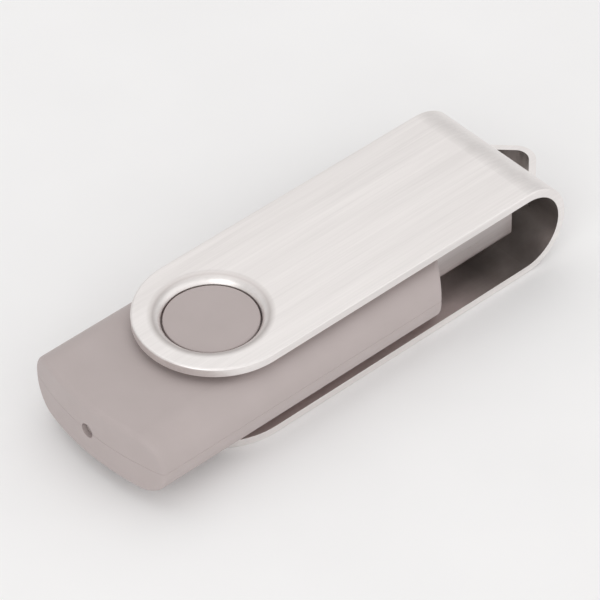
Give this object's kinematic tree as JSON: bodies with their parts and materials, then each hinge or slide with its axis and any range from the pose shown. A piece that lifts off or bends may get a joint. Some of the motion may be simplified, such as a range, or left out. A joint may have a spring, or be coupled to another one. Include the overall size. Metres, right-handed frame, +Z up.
{
  "type": "usb flash drive",
  "caption": "USB flash drive: grey plastic body with a standard type A plug, turning on round bosses inside a folded steel clip with a key loop.",
  "frame": {"origin": "under the middle of the closed drive's bounding box, on the surface it rests on", "axes": "+X along the drive towards the clip's bend and the plug's tip, +Z up through the hub, +Y across the width"},
  "size_m": [0.0632, 0.0208, 0.0115],
  "materials": {
    "housing_plastic": "fine satin moulding, warm grey",
    "clip_steel": "satin brushed stainless sheet",
    "shell_steel": "nickel-plated folded steel",
    "insulator_plastic": "white connector plastic",
    "contact_gold": "gold-plated copper alloy",
    "board_laminate": "green solder mask",
    "chip_plastic": "black moulding compound",
    "tinned_leads": "bright tin plating",
    "crystal_can": "plain metal can",
    "led_resin": "milky clear resin",
    "window_plastic": "smoky translucent light pipe",
    "capacitor_ceramic": "tan ceramic",
    "resistor_ceramic": "dark glazed ceramic"
  },
  "bodies": {
    "drive": {"housing_upper": "housing_plastic", "housing_lower": "housing_plastic", "plug_shell": "shell_steel", "plug_insulator": "insulator_plastic", "contact_vbus": "contact_gold", "contact_data_minus": "contact_gold", "contact_data_plus": "contact_gold", "contact_ground": "contact_gold", "circuit_board": "board_laminate", "flash_memory": "chip_plastic", "flash_memory_leads": "tinned_leads", "controller": "chip_plastic", "controller_leads": "tinned_leads", "crystal": "crystal_can", "voltage_regulator": "chip_plastic", "voltage_regulator_leads": "tinned_leads", "status_led": "led_resin", "led_window": "window_plastic", "chip_capacitors": "capacitor_ceramic", "chip_resistors": "resistor_ceramic"},
    "clip": {"swivel_clip": "clip_steel"}
  },
  "joints": [
    {"name": "clip_swivel", "type": "hinge", "parent": "drive", "child": "clip", "pos_m": [-0.01459, 0, 0.00573], "axis": [0, 0, 1], "continuous": true}
  ]
}
